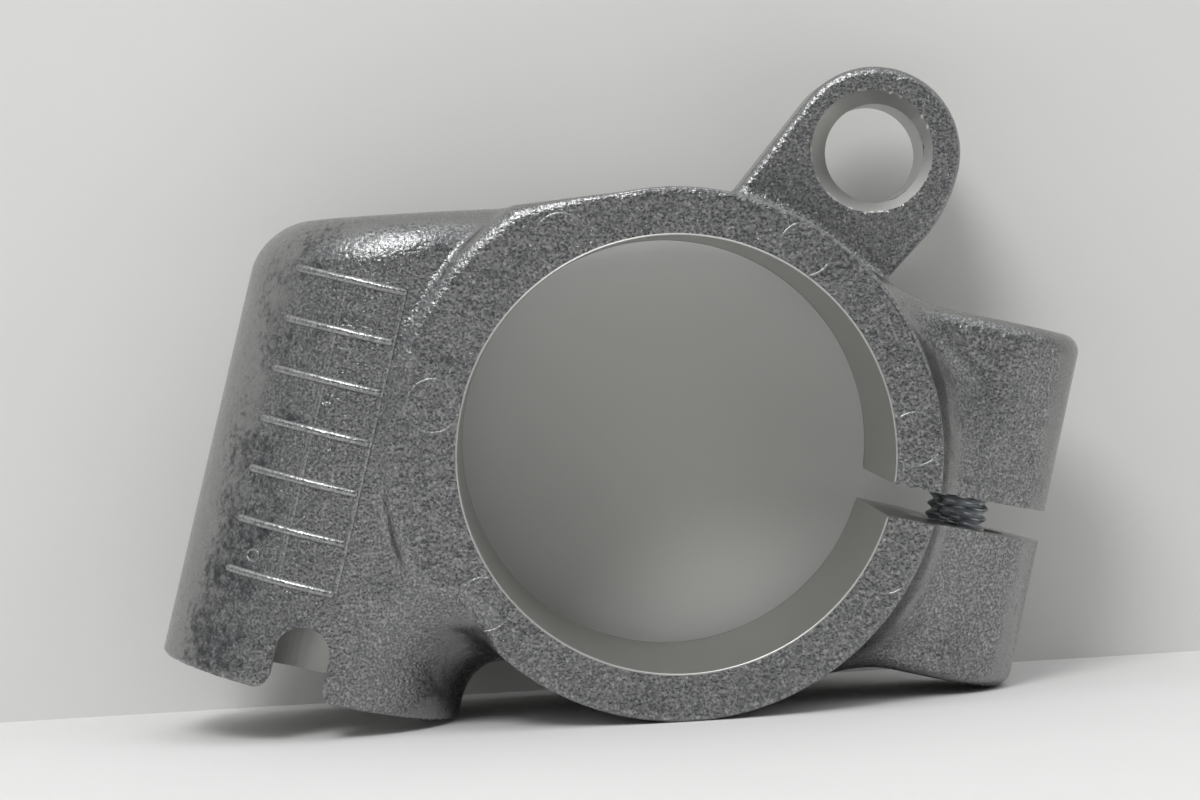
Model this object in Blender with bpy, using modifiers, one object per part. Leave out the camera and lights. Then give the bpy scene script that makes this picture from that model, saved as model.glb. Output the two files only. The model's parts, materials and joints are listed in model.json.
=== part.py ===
"""Split fork-tube clamp with a handlebar socket: the part in metres, +Z up, standing on its ring.

The casting is laid out in a frame of its own: the fork tube's axis is the Y axis, the origin is at
the middle of the ring, X runs to the right towards the slit and Z runs up. clamp_frame moves that
layout so that the world origin is at the bottom centre of the whole part.
"""

import math

import bmesh
import bpy
from mathutils import Matrix, Vector

MM = 0.001

# The ring that closes on the fork tube.
FORK_BORE_RADIUS = 20.5 * MM
RING_WALL = 4.5 * MM
RING_LENGTH = 31.0 * MM
BORE_CHAMFER = 0.5 * MM
SLIT_WIDTH = 3.0 * MM
SLIT_FALL = math.radians(15.2)

# The saddle, a thicker stretch of the ring where the socket joins it.
SADDLE_THICKENING = 2.8 * MM
SADDLE_TOP_ANGLE = math.radians(120)
SADDLE_END_ANGLE = math.radians(208)

# The socket for the handlebar tube.
BAR_BORE_RADIUS = 11.1 * MM
SOCKET_WALL = 3.55 * MM
BAR_BORE_END_WALL = 2.0 * MM  # between the end of the bar's bore and the fork bore
SOCKET_LEAN = math.radians(16.5)
SOCKET_STANDOFF = 3.8 * MM  # from the ring's outside to the socket's axis
SOCKET_TOP_DROP = 1.0 * MM  # from the ring's top to the socket's level top
SOCKET_TOP_ROUND = 3.4 * MM
NOTCH_WIDTH = 5.2 * MM
NOTCH_OFFSET = -1.0 * MM  # across, from the socket's axis
NOTCH_HEIGHT = 6.6 * MM

# The two pinch bosses and the ears that carry them.
BOSS_WALL = 2.4 * MM  # round the counterbore
BOSS_STANDOFF = 3.7 * MM  # from the ring's outside to the screw's axis
UPPER_BOSS_REACH = 18.7 * MM
LOWER_BOSS_FLOOR = 2.2 * MM  # under the thread insert
BOSS_ROUND = 1.6 * MM

# The lug with a hole, near the back of the ring.
LUG_STANDOFF = 10.14 * MM  # from the ring's outside to the middle of the hole
LUG_ANGLE = math.radians(51.76)
LUG_ROOT_SPREAD = math.radians(18.5)  # to each side, where its edges meet the ring
LUG_SHOULDER = (6.65 * MM, 6.4 * MM)  # right of and below the hole, where the right edge turns in
LUG_ARC_START = math.radians(-22)
LUG_THICKNESS = 10.0 * MM
LUG_BACK_INSET = 4.0 * MM  # from the ring's back face
LUG_HOLE_RADIUS = 4.8 * MM
LUG_WALL = 3.6 * MM
LUG_COUNTERSINK = 0.9 * MM
LUG_EDGE_BEVEL = 0.8 * MM

# The pinch screw (M6, pitch 1 mm), its washer and the thread insert that it screws into.
SCREW_RADIUS = 3.0 * MM
SCREW_LENGTH = 25.0 * MM
HEAD_OVERHANG = 2.0 * MM  # of the head past the shank
HEAD_HEIGHT = 6.0 * MM
HEAD_EDGE = 0.5 * MM
HEX_KEY_WIDTH = 5.0 * MM
HEX_KEY_DEPTH = 3.0 * MM
TIP_CHAMFER = 0.8 * MM
WASHER_OVERHANG = 0.5 * MM  # of the washer past the head
WASHER_THICKNESS = 1.6 * MM
INSERT_WALL = 1.5 * MM
INSERT_LENGTH = 12.0 * MM
INSERT_SETBACK = 0.5 * MM
HEAD_SUNK = 0.6 * MM

# Clearances: between pieces that touch, round the screw's shank and round the washer.
SEAT_GAP = 0.3 * MM
SHANK_CLEARANCE = 0.4 * MM
COUNTERBORE_CLEARANCE = 0.4 * MM
PAST = 2.0 * MM  # how far a cutter runs past the face that it starts from

# What follows from the sizes above.
RING_RADIUS = FORK_BORE_RADIUS + RING_WALL
SADDLE_RADIUS = RING_RADIUS + SADDLE_THICKENING
HEAD_RADIUS = SCREW_RADIUS + HEAD_OVERHANG
WASHER_RADIUS = HEAD_RADIUS + WASHER_OVERHANG
INSERT_RADIUS = SCREW_RADIUS + INSERT_WALL
SCREW_HOLE_RADIUS = SCREW_RADIUS + SHANK_CLEARANCE
COUNTERBORE_RADIUS = WASHER_RADIUS + COUNTERBORE_CLEARANCE
COUNTERBORE_DEPTH = HEAD_SUNK + HEAD_HEIGHT + WASHER_THICKNESS + 2 * SEAT_GAP
INSERT_TOP = -SLIT_WIDTH / 2 - INSERT_SETBACK
BOSS_RADIUS = COUNTERBORE_RADIUS + BOSS_WALL
BOSS_OFFSET = RING_RADIUS + BOSS_STANDOFF
LOWER_BOSS_REACH = INSERT_LENGTH + LOWER_BOSS_FLOOR - INSERT_TOP
LUG_RADIUS = LUG_HOLE_RADIUS + LUG_WALL
LUG_DISTANCE = RING_RADIUS + LUG_STANDOFF
LUG_PLACE = (LUG_DISTANCE * math.cos(LUG_ANGLE), LUG_DISTANCE * math.sin(LUG_ANGLE))
LUG_BACK = RING_LENGTH / 2 - LUG_BACK_INSET
LUG_FRONT = LUG_BACK - LUG_THICKNESS
SOCKET_RADIUS = BAR_BORE_RADIUS + SOCKET_WALL
SOCKET_OFFSET = RING_RADIUS + SOCKET_STANDOFF
SOCKET_TOP_HEIGHT = RING_RADIUS - SOCKET_TOP_DROP
SOCKET_AXIS = Vector((math.sin(SOCKET_LEAN), 0, math.cos(SOCKET_LEAN)))
SOCKET_SIDE = Vector((math.cos(SOCKET_LEAN), 0, -math.sin(SOCKET_LEAN)))
SLIT_AXIS = Vector((math.cos(SLIT_FALL), 0, -math.sin(SLIT_FALL)))
PINCH_AXIS = Vector((math.sin(SLIT_FALL), 0, math.cos(SLIT_FALL)))

# The rim of the socket stands level with the underside of the ring, and so does the lower boss.
SOCKET_RIM_DROP = (
    RING_RADIUS - SOCKET_RADIUS * math.sin(SOCKET_LEAN) + SOCKET_OFFSET * math.sin(SOCKET_LEAN)
) / math.cos(SOCKET_LEAN)
SOCKET_RIM = -SOCKET_SIDE * SOCKET_OFFSET - SOCKET_AXIS * SOCKET_RIM_DROP

# The bar's bore ends where the metal between its end and the fork bore is down to the wall asked for.
BAR_BORE_DEPTH = SOCKET_RIM_DROP - math.sqrt(
    (FORK_BORE_RADIUS + BAR_BORE_END_WALL) ** 2 - (SOCKET_OFFSET - BAR_BORE_RADIUS) ** 2
)


def clear_scene():
    for obj in list(bpy.data.objects):
        bpy.data.objects.remove(obj, do_unlink=True)
    for collection in list(bpy.data.collections):
        bpy.data.collections.remove(collection)


def new_collection(name):
    collection = bpy.data.collections.new(name)
    bpy.context.scene.collection.children.link(collection)
    return collection


def new_material(name, color, metallic, roughness):
    material = bpy.data.materials.new(name)
    material.use_nodes = True
    shader = material.node_tree.nodes["Principled BSDF"]
    shader.inputs["Base Color"].default_value = (*color, 1)
    shader.inputs["Metallic"].default_value = metallic
    shader.inputs["Roughness"].default_value = roughness
    return material


def add_object(name, mesh, collection, parent, matrix=Matrix()):
    obj = bpy.data.objects.new(name, mesh)
    collection.objects.link(obj)
    obj.parent = parent
    obj.matrix_local = matrix
    return obj


def frame_along(direction, point):
    """A matrix whose Z axis is the direction, and whose origin is the point."""
    turn = Vector((0, 0, 1)).rotation_difference(direction).to_matrix().to_4x4()
    return Matrix.Translation(point) @ turn


def cylinder_mesh(name, radius, low, high, segments):
    """A cylinder along Z, from low to high."""
    shape = bmesh.new()
    bmesh.ops.create_cone(
        shape, cap_ends=True, segments=segments, radius1=radius, radius2=radius, depth=high - low
    )
    bmesh.ops.translate(shape, vec=(0, 0, (low + high) / 2), verts=shape.verts)
    return finish_mesh(name, shape)


def box_mesh(name, low, high):
    shape = bmesh.new()
    size = Vector(high) - Vector(low)
    bmesh.ops.create_cube(shape, size=1.0)
    bmesh.ops.scale(shape, vec=size, verts=shape.verts)
    bmesh.ops.translate(shape, vec=(Vector(low) + Vector(high)) / 2, verts=shape.verts)
    return finish_mesh(name, shape)


def plate_mesh(name, outline, front, back, edge_bevel=0.0):
    """A flat outline of (x, z) points, anticlockwise as seen from the front, given its thickness along Y."""
    shape = bmesh.new()
    corners = [shape.verts.new((x, front, z)) for x, z in outline]
    face = shape.faces.new(corners)
    grown = bmesh.ops.extrude_face_region(shape, geom=[face])
    moved = [item for item in grown["geom"] if isinstance(item, bmesh.types.BMVert)]
    bmesh.ops.translate(shape, vec=(0, back - front, 0), verts=moved)
    bmesh.ops.recalc_face_normals(shape, faces=shape.faces)
    if edge_bevel:
        rims = [edge for edge in shape.edges if abs(edge.verts[0].co.y - edge.verts[1].co.y) < 1e-6]
        bmesh.ops.bevel(
            shape, geom=rims, offset=edge_bevel, segments=3, profile=0.5, affect="EDGES"
        )
    return finish_mesh(name, shape)


def finish_mesh(name, shape):
    mesh = bpy.data.meshes.new(name)
    shape.to_mesh(mesh)
    shape.free()
    mesh.shade_smooth()
    mesh.set_sharp_from_angle(angle=math.radians(35))
    return mesh


def turned_object(name, profile, steps, collection, parent, closed=False):
    """A profile of (radius, height) points, running down its outer side, turned about Z.

    An open profile starts and ends on the axis. A closed one goes round a ring's section.
    """
    edges = [(i, i + 1) for i in range(len(profile) - 1)]
    if closed:
        edges.append((len(profile) - 1, 0))
    mesh = bpy.data.meshes.new(name)
    mesh.from_pydata([(radius, 0, height) for radius, height in profile], edges, [])
    obj = add_object(name, mesh, collection, parent)
    screw = obj.modifiers.new("turn", "SCREW")
    screw.axis = "Z"
    screw.steps = steps
    screw.render_steps = steps
    screw.use_merge_vertices = True
    screw.merge_threshold = 1e-6
    return obj


def combine(target, tool, operation):
    modifier = target.modifiers.new(tool.name, "BOOLEAN")
    modifier.operation = operation
    modifier.solver = "EXACT"
    modifier.object = tool


def hide(obj):
    """Marks a shape that only a Boolean uses."""
    obj.hide_render = True
    obj.display_type = "WIRE"
    return obj


def helper(name, mesh, collection, parent, matrix=Matrix()):
    return hide(add_object(name, mesh, collection, parent, matrix))


def arc(center, radius, start, end, count):
    """Points on a circle's arc, from one angle to the other."""
    angles = [start + (end - start) * i / count for i in range(count + 1)]
    return [(center[0] + radius * math.cos(a), center[1] + radius * math.sin(a)) for a in angles]


def at_angle(radius, angle):
    return (radius * math.cos(angle), radius * math.sin(angle))


def ring_outline():
    """The ring's round outside, the thicker saddle on its left and the near-level top between them."""
    full_turn = 2 * math.pi
    return arc((0, 0), SADDLE_RADIUS, SADDLE_TOP_ANGLE, SADDLE_END_ANGLE, 24) + arc(
        (0, 0), RING_RADIUS, SADDLE_END_ANGLE, math.pi / 2 + full_turn, 64
    )


def lug_outline():
    """The round end of the lug, a straight edge tangent to it on the left, and a stepped one on the right."""
    x, z = LUG_PLACE
    root_radius = RING_RADIUS - RING_WALL / 2
    left_root = at_angle(RING_RADIUS, LUG_ANGLE + LUG_ROOT_SPREAD)
    left_distance = math.hypot(x - left_root[0], z - left_root[1])
    towards_center = math.atan2(z - left_root[1], x - left_root[0])
    tangent = towards_center + math.asin(LUG_RADIUS / left_distance) + math.pi / 2
    shoulder = (x + LUG_SHOULDER[0], z - LUG_SHOULDER[1])
    return (
        [left_root, at_angle(root_radius, LUG_ANGLE), at_angle(RING_RADIUS, LUG_ANGLE - LUG_ROOT_SPREAD)]
        + [shoulder]
        + arc((x, z), LUG_RADIUS, LUG_ARC_START, tangent, 28)
    )


def make_casting(collection, cutters, frame):
    """The one-piece casting: ring, saddle, socket, ears, bosses and lug, then its holes and cuts."""
    half = RING_LENGTH / 2
    ring = plate_mesh("clamp_casting", ring_outline(), -half, half)
    casting = add_object("clamp_casting", ring, collection, frame)

    def join(name, mesh, matrix=Matrix()):
        combine(casting, helper(name, mesh, cutters, frame, matrix), "UNION")

    def cut(name, mesh, matrix=Matrix()):
        combine(casting, helper(name, mesh, cutters, frame, matrix), "DIFFERENCE")

    def cut_turned(name, profile, steps, matrix):
        tool = turned_object(name, profile, steps, cutters, frame)
        tool.matrix_local = matrix
        combine(casting, hide(tool), "DIFFERENCE")

    join("socket_block", socket_mesh(), frame_along(SOCKET_AXIS, SOCKET_RIM))
    bosses = plate_mesh("boss_block", boss_outline(), -LOWER_BOSS_REACH, UPPER_BOSS_REACH, BOSS_ROUND)
    across_slit = Matrix((SLIT_AXIS, PINCH_AXIS, SLIT_AXIS.cross(PINCH_AXIS))).transposed().to_4x4()
    join("boss_block", bosses, across_slit)
    join("lug_block", plate_mesh("lug_block", lug_outline(), LUG_FRONT, LUG_BACK, LUG_EDGE_BEVEL))

    flare = BORE_CHAMFER + PAST
    bore = [
        (0, half + PAST),
        (FORK_BORE_RADIUS + flare, half + PAST),
        (FORK_BORE_RADIUS, half - BORE_CHAMFER),
        (FORK_BORE_RADIUS, BORE_CHAMFER - half),
        (FORK_BORE_RADIUS + flare, -half - PAST),
        (0, -half - PAST),
    ]
    cut_turned("fork_bore", bore, 96, frame_along(Vector((0, 1, 0)), (0, 0, 0)))
    reach = BOSS_OFFSET + BOSS_RADIUS + PAST
    slit = box_mesh(
        "slit",
        (FORK_BORE_RADIUS / 2, -half - PAST, -SLIT_WIDTH / 2),
        (reach, half + PAST, SLIT_WIDTH / 2),
    )
    cut("slit", slit, frame_along(PINCH_AXIS, (0, 0, 0)))
    cut_socket(cut)
    cut_lug_hole(cut_turned)
    cut_screw_hole(cut_turned)
    return casting


def socket_mesh():
    """The socket's cylinder, from its rim up, cut off level at its top."""
    top = (SOCKET_TOP_HEIGHT - SOCKET_RIM.z) / math.cos(SOCKET_LEAN)
    shape = bmesh.new()
    high = top + SOCKET_RADIUS * math.tan(SOCKET_LEAN) + PAST
    bmesh.ops.create_cone(
        shape, cap_ends=True, segments=72, radius1=SOCKET_RADIUS, radius2=SOCKET_RADIUS, depth=high
    )
    bmesh.ops.translate(shape, vec=(0, 0, high / 2), verts=shape.verts)
    level = frame_along(SOCKET_AXIS, SOCKET_RIM).inverted()
    normal = level.to_3x3() @ Vector((0, 0, 1))
    point = level @ Vector((SOCKET_RIM.x, 0, SOCKET_TOP_HEIGHT))
    cut = bmesh.ops.bisect_plane(
        shape,
        geom=shape.verts[:] + shape.edges[:] + shape.faces[:],
        plane_co=point,
        plane_no=normal,
        clear_outer=True,
    )
    rim = [item for item in cut["geom_cut"] if isinstance(item, bmesh.types.BMEdge)]
    bmesh.ops.contextual_create(shape, geom=rim)
    bmesh.ops.recalc_face_normals(shape, faces=shape.faces)
    bmesh.ops.bevel(
        shape, geom=rim, offset=SOCKET_TOP_ROUND, segments=3, profile=0.5, affect="EDGES"
    )
    return finish_mesh("socket_block", shape)


def boss_outline():
    """Both bosses and their ears, along the screw's axis: a round end and two tangent sides."""
    root = FORK_BORE_RADIUS / 2
    quarter_turn = math.pi / 2
    return (
        [(root, -BOSS_RADIUS)]
        + arc((BOSS_OFFSET, 0), BOSS_RADIUS, -quarter_turn, quarter_turn, 28)
        + [(root, BOSS_RADIUS)]
    )


def cut_socket(cut):
    """The handlebar tube's blind bore and the arched notch through the front of its wall."""
    place = frame_along(SOCKET_AXIS, SOCKET_RIM)
    cut("bar_bore", cylinder_mesh("bar_bore", BAR_BORE_RADIUS, -PAST, BAR_BORE_DEPTH, 64), place)
    half_width = NOTCH_WIDTH / 2
    outline = [(NOTCH_OFFSET - half_width, -PAST), (NOTCH_OFFSET + half_width, -PAST)]
    outline += arc((NOTCH_OFFSET, NOTCH_HEIGHT - half_width), half_width, 0, math.pi, 16)
    front = -SOCKET_RADIUS - PAST
    cut("bar_notch", plate_mesh("bar_notch", outline, front, -BAR_BORE_RADIUS / 2), place)


def cut_lug_hole(cut_turned):
    """A plain hole with a countersink at the lug's front."""
    profile = [
        (0, LUG_BACK + PAST),
        (LUG_HOLE_RADIUS, LUG_BACK + PAST),
        (LUG_HOLE_RADIUS, LUG_FRONT + LUG_COUNTERSINK),
        (LUG_HOLE_RADIUS + LUG_COUNTERSINK + PAST, LUG_FRONT - PAST),
        (0, LUG_FRONT - PAST),
    ]
    center = (LUG_PLACE[0], 0, LUG_PLACE[1])
    cut_turned("lug_hole", profile, 48, frame_along(Vector((0, 1, 0)), center))


def cut_screw_hole(cut_turned):
    """Counterbore for head and washer, clearance hole, seat of the insert and room for the tip."""
    seat = UPPER_BOSS_REACH - COUNTERBORE_DEPTH
    pocket_radius = INSERT_RADIUS + SEAT_GAP
    pocket_end = INSERT_TOP - INSERT_LENGTH - SEAT_GAP
    end = min(screw_seat() - SCREW_LENGTH, pocket_end) - 2 * SEAT_GAP
    profile = [
        (0, UPPER_BOSS_REACH + PAST),
        (COUNTERBORE_RADIUS, UPPER_BOSS_REACH + PAST),
        (COUNTERBORE_RADIUS, seat),
        (SCREW_HOLE_RADIUS, seat),
        (SCREW_HOLE_RADIUS, -SLIT_WIDTH / 4),
        (pocket_radius, -SLIT_WIDTH / 4),
        (pocket_radius, pocket_end),
        (SCREW_HOLE_RADIUS, pocket_end),
        (SCREW_HOLE_RADIUS, end),
        (0, end),
    ]
    cut_turned("screw_hole", profile, 44, frame_along(PINCH_AXIS, SLIT_AXIS * BOSS_OFFSET))


def washer_seat():
    """Height of the washer's underside above the middle of the slit."""
    return UPPER_BOSS_REACH - COUNTERBORE_DEPTH + SEAT_GAP


def screw_seat():
    """Height of the underside of the screw's head above the middle of the slit."""
    return washer_seat() + WASHER_THICKNESS + SEAT_GAP


def make_washer(collection, axis_frame):
    low = washer_seat()
    high = low + WASHER_THICKNESS
    inner = SCREW_RADIUS + SHANK_CLEARANCE
    profile = [(inner, high), (WASHER_RADIUS, high), (WASHER_RADIUS, low), (inner, low)]
    return turned_object("pinch_washer", profile, 48, collection, axis_frame, closed=True)


def make_insert(collection, axis_frame):
    high = INSERT_TOP
    low = high - INSERT_LENGTH
    inner = SCREW_RADIUS + SEAT_GAP
    profile = [(inner, high), (INSERT_RADIUS, high), (INSERT_RADIUS, low), (inner, low)]
    return turned_object("thread_insert", profile, 40, collection, axis_frame, closed=True)


def make_screw(collection, cutters, axis_frame):
    """A socket-head cap screw: a turned head and shank, with a hexagonal hole for the key."""
    seat = screw_seat()
    top = seat + HEAD_HEIGHT
    tip = seat - SCREW_LENGTH
    profile = [
        (0, top),
        (HEAD_RADIUS - HEAD_EDGE, top),
        (HEAD_RADIUS, top - HEAD_EDGE),
        (HEAD_RADIUS, seat),
        (SCREW_RADIUS, seat),
        (SCREW_RADIUS, tip + TIP_CHAMFER),
        (SCREW_RADIUS - TIP_CHAMFER, tip),
        (0, tip),
    ]
    screw = turned_object("pinch_screw", profile, 48, collection, axis_frame)
    corner_radius = HEX_KEY_WIDTH / 2 / math.cos(math.radians(30))
    hexagon = cylinder_mesh("hex_hole", corner_radius, top - HEX_KEY_DEPTH, top + PAST, 6)
    combine(screw, helper("hex_hole", hexagon, cutters, axis_frame), "DIFFERENCE")
    return screw


def bottom_center(objects):
    """The middle of the underside of the box round the finished objects."""
    bpy.context.view_layer.update()
    graph = bpy.context.evaluated_depsgraph_get()
    points = []
    for obj in objects:
        evaluated = obj.evaluated_get(graph)
        mesh = evaluated.to_mesh()
        points += [evaluated.matrix_world @ vertex.co for vertex in mesh.vertices]
        evaluated.to_mesh_clear()
    low = Vector([min(point[i] for point in points) for i in range(3)])
    high = Vector([max(point[i] for point in points) for i in range(3)])
    return Vector(((low.x + high.x) / 2, (low.y + high.y) / 2, low.z))


def main():
    clear_scene()
    parts = new_collection("fork_clamp")
    cutters = new_collection("fork_clamp_cutters")
    cast = new_material("cast_aluminium", (0.36, 0.36, 0.37), 1.0, 0.55)
    zinc = new_material("zinc_plated_steel", (0.42, 0.43, 0.45), 1.0, 0.35)
    stainless = new_material("stainless_steel", (0.50, 0.50, 0.50), 1.0, 0.30)

    frame = bpy.data.objects.new("clamp_frame", None)
    parts.objects.link(frame)
    axis_frame = bpy.data.objects.new("pinch_axis", None)
    parts.objects.link(axis_frame)
    axis_frame.parent = frame
    axis_frame.matrix_local = frame_along(PINCH_AXIS, SLIT_AXIS * BOSS_OFFSET)

    casting = make_casting(parts, cutters, frame)
    washer = make_washer(parts, axis_frame)
    insert = make_insert(parts, axis_frame)
    screw = make_screw(parts, cutters, axis_frame)
    for obj, material in ((casting, cast), (washer, zinc), (insert, stainless), (screw, zinc)):
        obj.data.materials.append(material)
    frame.location = -bottom_center([casting, washer, insert, screw])


main()
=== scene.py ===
import json
import math

import bpy
import numpy as np
from mathutils import Matrix, Vector


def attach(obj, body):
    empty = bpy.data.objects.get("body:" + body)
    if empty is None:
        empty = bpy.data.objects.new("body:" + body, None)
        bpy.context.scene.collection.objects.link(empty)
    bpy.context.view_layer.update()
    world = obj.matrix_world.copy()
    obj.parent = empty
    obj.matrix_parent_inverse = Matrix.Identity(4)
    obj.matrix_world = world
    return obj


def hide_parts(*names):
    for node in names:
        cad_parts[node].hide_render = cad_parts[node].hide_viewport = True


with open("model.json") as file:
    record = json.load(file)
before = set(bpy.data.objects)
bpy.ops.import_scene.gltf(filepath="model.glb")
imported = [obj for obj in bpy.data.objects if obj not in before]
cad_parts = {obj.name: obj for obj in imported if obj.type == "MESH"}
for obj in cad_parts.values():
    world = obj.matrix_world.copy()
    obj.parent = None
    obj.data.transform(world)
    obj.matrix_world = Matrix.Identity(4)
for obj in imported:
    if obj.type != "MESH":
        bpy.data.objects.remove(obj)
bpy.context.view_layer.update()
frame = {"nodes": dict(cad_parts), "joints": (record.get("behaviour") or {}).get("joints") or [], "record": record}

# ---------------------------------------------------------------------------
# Sizes in millimetres, in the casting's own layout: the fork tube's axis is Y, the origin is at the
# middle of the ring, X runs right towards the slit and Z runs up.
# ---------------------------------------------------------------------------
BORE_R = 20.5
RING_R = 25.0
RING_HALF = 15.5
RING_EDGE = 0.5
SADDLE_SWELL = 2.8
SADDLE_EDGE = 1.7
SADDLE_FADE_EDGE = 2.6
SADDLE_START = (math.radians(104), math.radians(124))
SADDLE_END = (math.radians(203), math.radians(219))
SADDLE_FADE_IN = (math.radians(203), math.radians(211))
SADDLE_FADE_OUT = (math.radians(217), math.radians(226))
SADDLE_TOP_SLOPE = math.radians(3.8)
SLIT_HALF = 1.5

SOCKET_R = 14.65
SOCKET_TOP = 24.0
SOCKET_TOP_ROUND = 4.5
SOCKET_RIM_EDGE = 0.5
NECK_FILLET = 0.7
NECK_FILLET_GAIN = 6.3
BAR_BORE_R = 11.1
BAR_BORE_DEPTH = 16.37
NOTCH_HALF = 2.6
NOTCH_ACROSS = -1.0
NOTCH_HEIGHT = 6.6
NOTCH_CORNER = 1.5

BOSS_R = 8.3
BOSS_OFFSET = 28.7
BOSS_TOP = 18.7
BOSS_FOOT = 16.2
BOSS_ROUND = 1.7
BOSS_FILLET = 7.4
BOSS_FILLET_LOSS = 2.9

LUG_ANGLE = math.radians(51.76)
LUG_DISTANCE = 35.14
LUG_R = 8.4
LUG_FRONT = 1.5
LUG_BACK = 11.5
LUG_EDGE = 0.8
LUG_LEFT_ANGLE = math.radians(138.6)
LUG_RIGHT_ANGLE = math.radians(-45.7)
LUG_RIGHT_REACH = 9.25
LUG_SHOULDER_ANGLE = math.radians(-19.3)
LUG_SHOULDER_ROUND = 1.3
LUG_STEM_REACH = 0.46
LUG_HIP_REACH = 2.73
LUG_HOLE_R = 4.8
LUG_SINK = 1.2
LUG_SINK_ACROSS = -0.3
LUG_SINK_UP = 0.15
LUG_ROOT_DEPTH = 3.0
LUG_ROOT_FILLET = 1.6

SCREW_R = 3.0
SCREW_PITCH = 1.0
THREAD_DEPTH = 0.5
HEAD_R = 5.0
HEAD_HEIGHT = 6.0
HEX_ACROSS = 5.0
HEX_DEPTH = 3.0
WASHER_R = 5.5
INSERT_R = 4.5
COUNTERBORE_R = 5.9
COUNTERBORE_DEPTH = 8.8
SCREW_HOLE_R = 3.4
SCREW_HOLE_FOOT = 14.9
POCKET_CLEARANCE = 0.3
POCKET_FOOT = 14.3
KNURLS = 40
KNURL_DEPTH = 0.11

GRID_ROWS = 7
GRID_FIRST = 10.2
GRID_PITCH = 4.83
GRID_LEFT = -9.9
GRID_MIDDLE = -4.9
GRID_RIGHT = 0.8
RIB_WIDTH = 0.86
RIB_HEIGHT = 0.38
GRID_LINE_WIDTH = 0.6
PIN_MARK_R = 2.5
PIN_MARK_INSET = 0.45
PIN_MARK_POINTS = 72
PIN_MARKS = [(-9.62, 20.59), (13.06, 18.44), (22.37, 0.15), (18.9, -11.62), (-22.44, 5.86), (-18.73, -12.9),
             (1.78, -22.37)]
BEAD_FOOT = 0.12
GRAIN_MM = 0.30
TOOL_MARK_M = 0.00016

MM = 0.001
GRID_STEP = 0.5
CASTING_LOW = np.array([-52.0, -16.6, -26.2])
CASTING_HIGH = np.array([41.6, 16.6, 37.6])
BACK = np.array([0.0, 1.0, 0.0])

# ---------------------------------------------------------------------------
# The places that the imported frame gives: the bore's axis, the screw's axis and the socket's rim.
# ---------------------------------------------------------------------------
record = frame["record"]
openings = {opening["name"]: np.array(opening["box_m"]) for opening in record["physics"]["openings"]}
bore_center = openings["fork_bore"].mean(axis=0) / MM
bore_center[1] = 0.0
mounts = {mount["name"]: mount for mount in record["mounts"]}
socket_axis = -np.array(mounts["socket_rim_face"]["axis"])
socket_side = np.array([socket_axis[2], 0.0, -socket_axis[0]])
socket_rim = np.array(mounts["socket_rim_face"]["pos_m"]) / MM - bore_center
socket_rim[1] = 0.0
turn_joint = next(joint for joint in frame["joints"] if joint["type"] == "hinge")
pinch_axis = np.array(turn_joint["axis"])
slit_axis = np.array([pinch_axis[2], 0.0, -pinch_axis[0]])


# ---------------------------------------------------------------------------
# Distances. Each function takes arrays of the same shape and gives millimetres, negative inside.
# ---------------------------------------------------------------------------
def join_round(a, b, radius):
    """Union of two shapes with a concave quarter-circle fillet of this radius between them."""
    corner = np.hypot(np.maximum(radius - a, 0), np.maximum(radius - b, 0))
    return np.maximum(radius, np.minimum(a, b)) - corner


def meet_round(a, b, radius):
    """Intersection of two shapes with a convex quarter-circle edge of this radius."""
    corner = np.hypot(np.maximum(radius + a, 0), np.maximum(radius + b, 0))
    return np.minimum(-radius, np.maximum(a, b)) + corner


def ease(value, low, high):
    """0 below low, 1 above high, and the smooth cubic 3u^2 - 2u^3 between them."""
    u = np.clip((value - low) / (high - low), 0, 1)
    return u * u * (3 - 2 * u)


def ring_outline(x, z):
    """The ring's circle, united with a larger one on its left that is cut off by a near-level line at
    its top and shrinks back to the ring's radius at its lower end."""
    radius = np.hypot(x, z)
    lower_end = ease(np.arctan2(z, x) % (2 * math.pi), *SADDLE_END)
    swollen = radius - RING_R - SADDLE_SWELL * np.where(x < 0, 1 - lower_end, 0)
    level_top = (z - RING_R) * math.cos(SADDLE_TOP_SLOPE) - x * math.sin(SADDLE_TOP_SLOPE)
    return np.minimum(radius - RING_R, np.maximum(swollen, level_top))


def ring_body(x, y, z):
    """The ring's outline, as long as the ring, with edges that are rounder on the swollen side."""
    angle = np.arctan2(z, x) % (2 * math.pi)
    share = ease(angle, *SADDLE_START) * (1 - ease(angle, *SADDLE_END))
    fading = ease(angle, *SADDLE_FADE_IN) * (1 - ease(angle, *SADDLE_FADE_OUT))
    edge = RING_EDGE + (SADDLE_EDGE - RING_EDGE) * share + SADDLE_FADE_EDGE * fading
    return meet_round(ring_outline(x, z), np.abs(y) - RING_HALF, edge)


def socket_places(x, z):
    """Across the socket's axis (to the right) and along it (up from the rim)."""
    dx = x - socket_rim[0]
    dz = z - socket_rim[2]
    across = dx * socket_side[0] + dz * socket_side[2]
    along = dx * socket_axis[0] + dz * socket_axis[2]
    return across, along


def socket_body(x, y, z):
    """A leaning cylinder, cut off level at its top with a broad round edge, and square at its rim."""
    across, along = socket_places(x, z)
    side = np.hypot(across, y) - SOCKET_R
    topped = meet_round(side, z - SOCKET_TOP, SOCKET_TOP_ROUND)
    return meet_round(topped, -along, SOCKET_RIM_EDGE)


def slit_places(x, z):
    """Along the slit (out from the bore's axis) and across it (towards the upper boss)."""
    out = x * slit_axis[0] + z * slit_axis[2]
    up = x * pinch_axis[0] + z * pinch_axis[2]
    return out, up


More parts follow.
